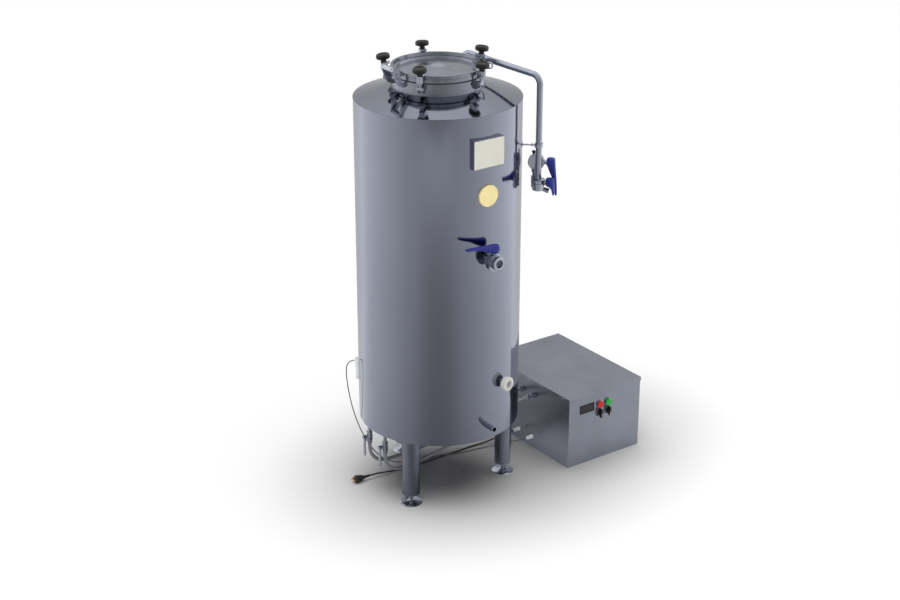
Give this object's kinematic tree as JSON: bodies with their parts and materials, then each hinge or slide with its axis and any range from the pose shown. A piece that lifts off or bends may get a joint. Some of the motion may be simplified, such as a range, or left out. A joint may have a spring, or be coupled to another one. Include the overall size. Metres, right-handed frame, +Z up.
{
  "type": "bulk milk tank",
  "caption": "Upright insulated milk cooling tank on legs, with a clamped lid, valves and a separate cooling unit joined by hoses.",
  "frame": {"origin": "on the floor, under the middle of the box round the tank and its cooling unit", "axes": "+Z up; +X from the tank to its cooling unit; the outlet and the unit's controls face -Y"},
  "size_m": [1.3867, 0.8446, 2.0738],
  "materials": {
    "steel": "brushed stainless",
    "polished": "ground stainless",
    "foam": "closed-cell foam",
    "black": "moulded",
    "blue": "moulded",
    "cream": "satin paint",
    "yellow": "satin paint",
    "white": "moulded",
    "rubber": "matt",
    "hose": "matt",
    "cable_grey": "matt",
    "gland": "moulded",
    "display": "smooth",
    "red": "moulded",
    "green": "moulded",
    "dark_paint": "satin paint",
    "lilac": "ground"
  },
  "bodies": {
    "tank": {"outer_shell": "steel", "top_cone": "steel", "bottom_plate": "steel", "insulation": "foam", "inner_vessel": "polished", "cooling_jacket": "polished", "vessel_nozzles": "polished", "legs": "steel", "manway_neck": "polished", "clamp_brackets": "polished", "lid_hinge_bracket": "polished", "lid_gasket": "rubber", "panel_box": "cream", "dial_disc": "yellow", "outlet_valve_body": "polished", "outlet_union": "polished", "sample_port_nut": "white", "fill_pipe": "polished", "fill_pipe_bracket": "polished", "fill_valve_bodies": "polished", "coolant_valves": "polished", "hose_1": "hose", "hose_2": "hose", "hose_fittings": "polished", "cable_glands": "gland", "sensor_cord": "cable_grey", "mains_cord": "rubber", "mains_plug": "rubber", "unit_casing": "steel", "unit_lid": "steel", "unit_tray": "steel", "display_window": "display", "refrigeration_set": "dark_paint"},
    "lid": {"lid": "polished", "lid_cap": "polished", "lid_handle": "polished", "lid_hinge_arm": "polished"},
    "clamp_bolt_1": {"clamp_bolt_1": "polished"},
    "clamp_knob_1": {"clamp_knob_1": "black"},
    "clamp_bolt_2": {"clamp_bolt_2": "polished"},
    "clamp_knob_2": {"clamp_knob_2": "black"},
    "clamp_bolt_3": {"clamp_bolt_3": "polished"},
    "clamp_knob_3": {"clamp_knob_3": "black"},
    "clamp_bolt_4": {"clamp_bolt_4": "polished"},
    "clamp_knob_4": {"clamp_knob_4": "black"},
    "clamp_bolt_5": {"clamp_bolt_5": "polished"},
    "clamp_knob_5": {"clamp_knob_5": "black"},
    "foot_1": {"foot_1": "polished"},
    "foot_2": {"foot_2": "polished"},
    "foot_3": {"foot_3": "polished"},
    "outlet_handle": {"outlet_valve_handle": "blue"},
    "upper_fill_handle": {"upper_fill_handle": "blue"},
    "lower_fill_handle": {"lower_fill_handle": "blue"},
    "coolant_lever_1": {"coolant_lever_1": "lilac"},
    "coolant_lever_2": {"coolant_lever_2": "lilac"},
    "red_button": {"red_button": "red"},
    "green_button": {"green_button": "green"},
    "selector_left": {"selector_left": "black"},
    "selector_right": {"selector_right": "black"},
    "condenser_fan": {"condenser_fan": "black"}
  },
  "joints": [
    {"name": "lid_hinge", "type": "hinge", "parent": "tank", "child": "lid", "pos_m": [-0.563, 0.04729, 2.046], "axis": [0, -1, 0], "range_deg": [0, 100]},
    {"name": "clamp_swing_1", "type": "hinge", "parent": "tank", "child": "clamp_bolt_1", "pos_m": [-0.076, 0.04729, 1.972], "axis": [0, 1, 0], "range_deg": [-7, 20]},
    {"name": "clamp_knob_turn_1", "type": "hinge", "parent": "clamp_bolt_1", "child": "clamp_knob_1", "pos_m": [-0.06625, 0.04729, 2.0514], "axis": [0.1219, 0, 0.9925], "continuous": true},
    {"name": "clamp_swing_2", "type": "hinge", "parent": "tank", "child": "clamp_bolt_2", "pos_m": [-0.23423, 0.26508, 1.972], "axis": [-0.9511, 0.309, 0], "range_deg": [-7, 98]},
    {"name": "clamp_knob_turn_2", "type": "hinge", "parent": "clamp_bolt_2", "child": "clamp_knob_2", "pos_m": [-0.23122, 0.27435, 2.0514], "axis": [0.0377, 0.1159, 0.9925], "continuous": true},
    {"name": "clamp_swing_3", "type": "hinge", "parent": "tank", "child": "clamp_bolt_3", "pos_m": [-0.49027, 0.18189, 1.972], "axis": [-0.5878, -0.809, 0], "range_deg": [-7, 98]},
    {"name": "clamp_knob_turn_3", "type": "hinge", "parent": "clamp_bolt_3", "child": "clamp_knob_3", "pos_m": [-0.49815, 0.18762, 2.0514], "axis": [-0.0986, 0.0716, 0.9925], "continuous": true},
    {"name": "clamp_swing_4", "type": "hinge", "parent": "tank", "child": "clamp_bolt_4", "pos_m": [-0.49027, -0.08731, 1.972], "axis": [0.5878, -0.809, 0], "range_deg": [-7, 98]},
    {"name": "clamp_knob_turn_4", "type": "hinge", "parent": "clamp_bolt_4", "child": "clamp_knob_4", "pos_m": [-0.49815, -0.09304, 2.0514], "axis": [-0.0986, -0.0716, 0.9925], "continuous": true},
    {"name": "clamp_swing_5", "type": "hinge", "parent": "tank", "child": "clamp_bolt_5", "pos_m": [-0.23423, -0.1705, 1.972], "axis": [0.9511, 0.309, 0], "range_deg": [-7, 98]},
    {"name": "clamp_knob_turn_5", "type": "hinge", "parent": "clamp_bolt_5", "child": "clamp_knob_5", "pos_m": [-0.23122, -0.17977, 2.0514], "axis": [0.0377, -0.1159, 0.9925], "continuous": true},
    {"name": "foot_turn_1", "type": "hinge", "parent": "tank", "child": "foot_1", "pos_m": [-0.57174, -0.10671, 0.08], "axis": [0, 0, 1], "continuous": true},
    {"name": "foot_turn_2", "type": "hinge", "parent": "tank", "child": "foot_2", "pos_m": [-0.03826, -0.10671, 0.08], "axis": [0, 0, 1], "continuous": true},
    {"name": "foot_turn_3", "type": "hinge", "parent": "tank", "child": "foot_3", "pos_m": [-0.305, 0.35529, 0.08], "axis": [0, 0, 1], "continuous": true},
    {"name": "outlet_handle_turn", "type": "hinge", "parent": "tank", "child": "outlet_handle", "pos_m": [-0.305, -0.37771, 1.282], "axis": [0, 0, 1], "range_deg": [0, 90]},
    {"name": "upper_fill_handle_turn", "type": "hinge", "parent": "tank", "child": "upper_fill_handle", "pos_m": [0.08678, -0.25556, 1.58], "axis": [0.7365, -0.6765, 0], "range_deg": [0, 90]},
    {"name": "lower_fill_handle_turn", "type": "hinge", "parent": "tank", "child": "lower_fill_handle", "pos_m": [0.05837, -0.28649, 1.5], "axis": [-0.7365, 0.6765, 0], "range_deg": [0, 90]},
    {"name": "coolant_lever_turn_1", "type": "hinge", "parent": "tank", "child": "coolant_lever_1", "pos_m": [-0.669, 0.13329, 0.268], "axis": [-1, 0, 0], "range_deg": [0, 90]},
    {"name": "coolant_lever_turn_2", "type": "hinge", "parent": "tank", "child": "coolant_lever_2", "pos_m": [-0.669, 0.00229, 0.268], "axis": [-1, 0, 0], "range_deg": [0, 90]},
    {"name": "red_button_push", "type": "slide", "parent": "tank", "child": "red_button", "axis": [0, 1, 0], "range_m": [0, 0.005], "stiffness_N_per_m": 250, "springref_m": -0.001},
    {"name": "green_button_push", "type": "slide", "parent": "tank", "child": "green_button", "axis": [0, 1, 0], "range_m": [0, 0.005], "stiffness_N_per_m": 250, "springref_m": -0.001},
    {"name": "selector_left_turn", "type": "hinge", "parent": "tank", "child": "selector_left", "pos_m": [0.419, -0.27671, 0.252], "axis": [0, -1, 0], "range_deg": [-45, 45]},
    {"name": "selector_right_turn", "type": "hinge", "parent": "tank", "child": "selector_right", "pos_m": [0.471, -0.27671, 0.252], "axis": [0, -1, 0], "range_deg": [-45, 45]},
    {"name": "condenser_fan_spin", "type": "hinge", "parent": "tank", "child": "condenser_fan", "pos_m": [0.453, 0.27829, 0.178], "axis": [0, 1, 0], "continuous": true}
  ]
}
